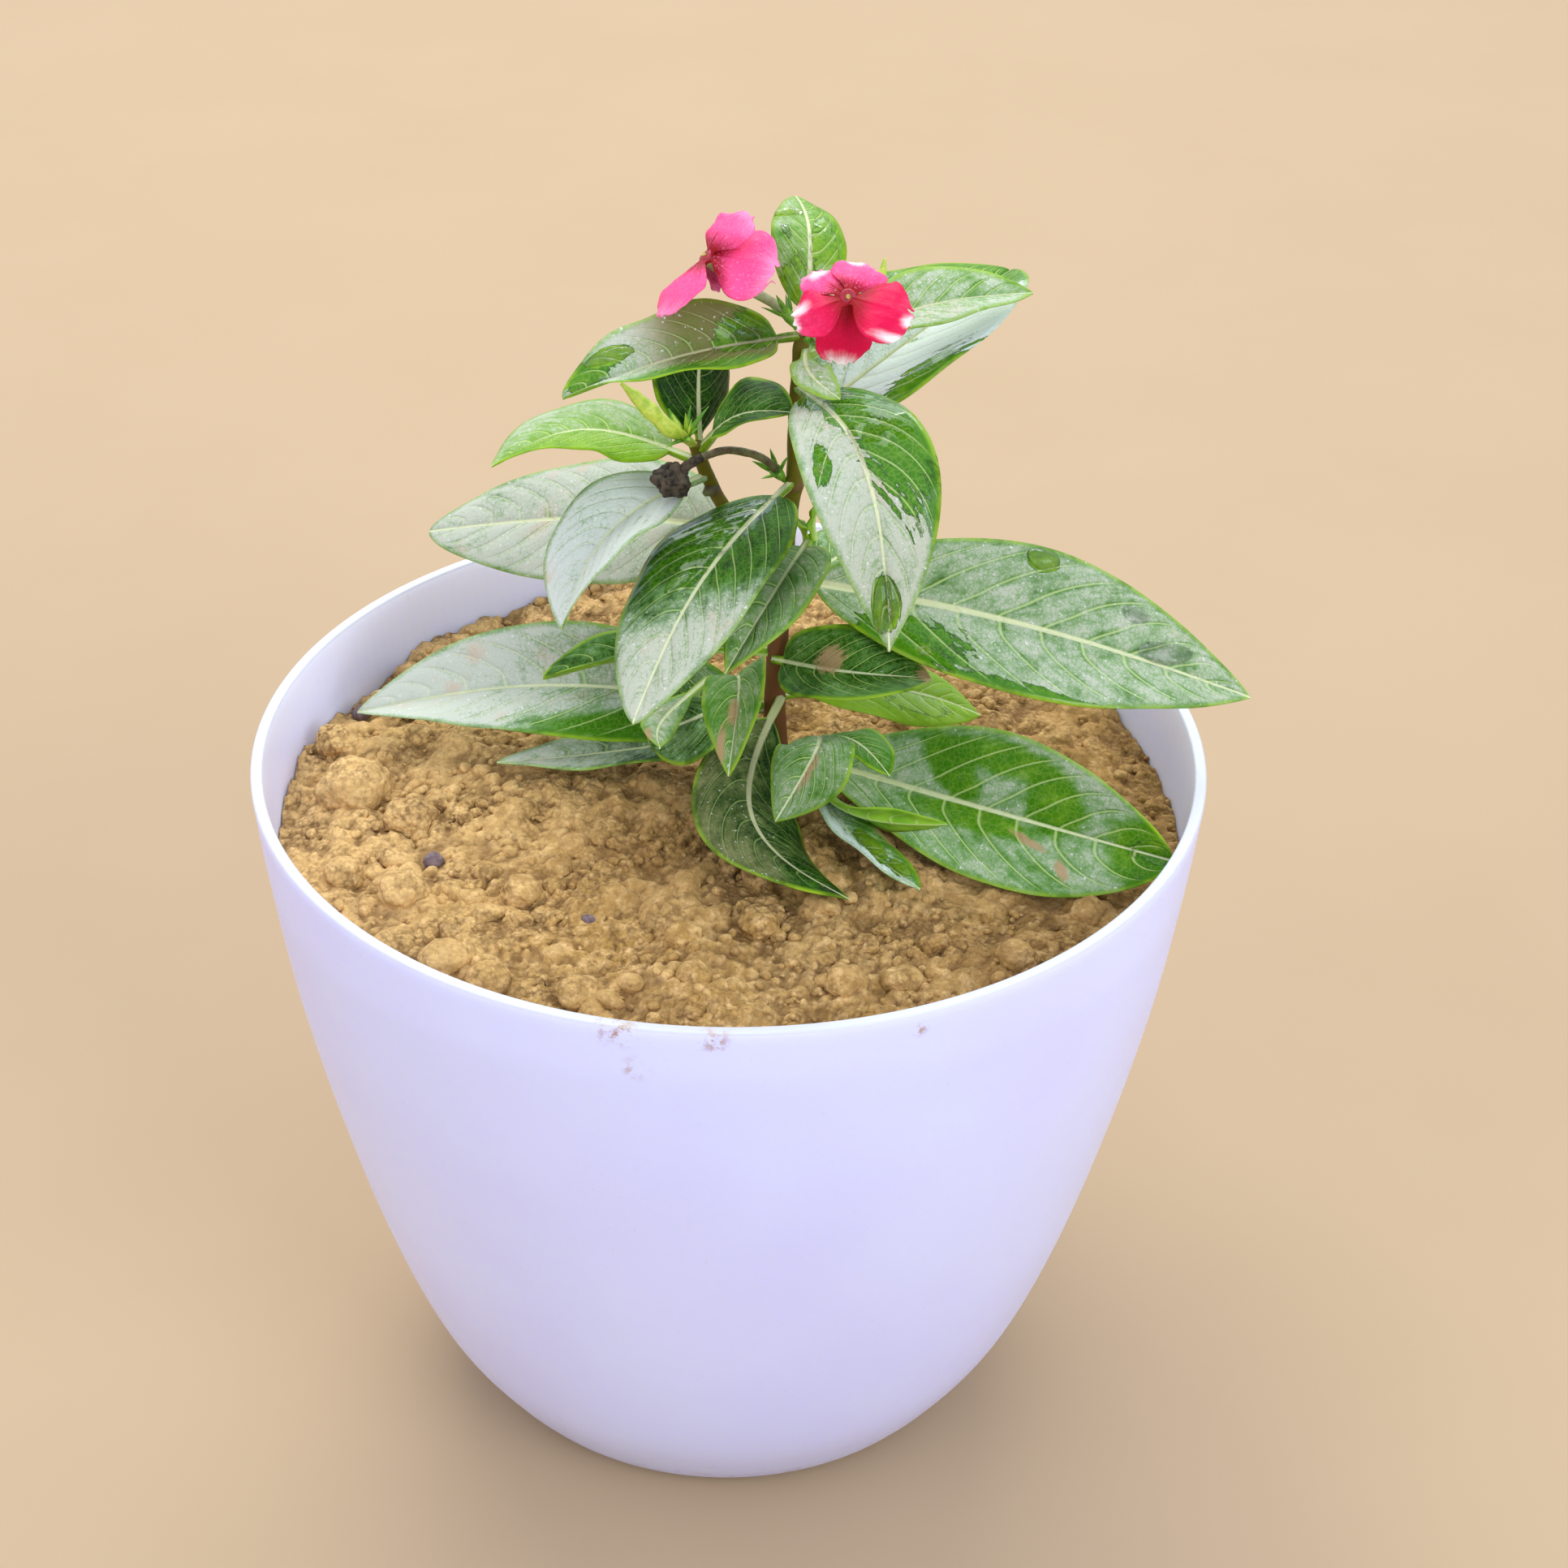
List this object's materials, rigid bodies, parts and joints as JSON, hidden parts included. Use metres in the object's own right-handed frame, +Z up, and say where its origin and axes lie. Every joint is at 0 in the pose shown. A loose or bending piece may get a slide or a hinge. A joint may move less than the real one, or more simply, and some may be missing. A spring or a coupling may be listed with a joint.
{
  "type": "potted madagascar periwinkle",
  "caption": "Young bushy periwinkle plant with crossed pairs of oval leaves and pink open flowers, growing in loam in a white tapered round pot.",
  "frame": {"origin": "middle of the flat underside of the pot, on the surface that it stands on", "axes": "+Z up, -Y towards the plant's front with the open flower, +X towards the longest leaf that passes over the rim"},
  "size_m": [0.2087, 0.2, 0.2776],
  "materials": {
    "pot_plastic": "smooth satin white plastic with a faint lavender cast",
    "loam": "dry crumbly sandy loam with rounded clods",
    "stem": "smooth soft stem, yellow-green above and reddish brown below",
    "leaf": "glossy green leaf under a pale film of dust, with wet patches and a cream midrib",
    "petal": "velvety hot pink petal with a dark red eye and pale edges",
    "calyx": "smooth fresh green",
    "dried": "matt dark brown, dried and crumpled"
  },
  "bodies": {
    "root": {"pot": "pot_plastic", "soil": "loam", "stem": "stem", "leaf_crown_upright": "leaf", "leaf_crown_left": "leaf", "leaf_crown_right": "leaf", "leaf_crown_small": "leaf", "leaf_back_right": "leaf", "leaf_front_right": "leaf", "leaf_branch_left": "leaf", "leaf_branch_back": "leaf", "leaf_branch_right": "leaf", "leaf_left_front": "leaf", "leaf_left_back": "leaf", "leaf_front_left": "leaf", "leaf_front_middle": "leaf", "leaf_right_large": "leaf", "leaf_middle_dark": "leaf", "leaf_middle_back": "leaf", "leaf_low_left_back": "leaf", "leaf_low_right_large": "leaf", "leaf_low_left_large": "leaf", "leaf_low_front": "leaf", "leaf_low_right_back": "leaf", "leaf_low_left_under": "leaf", "shoot_foot_right": "leaf", "shoot_foot_left": "leaf", "shoot_axil": "leaf", "calyx_front": "calyx", "calyx_side": "calyx", "calyx_spent": "calyx", "corolla_front": "petal", "corolla_side": "petal", "spent_flower": "dried", "bud": "calyx", "bud_crown": "calyx"}
  },
  "joints": []
}
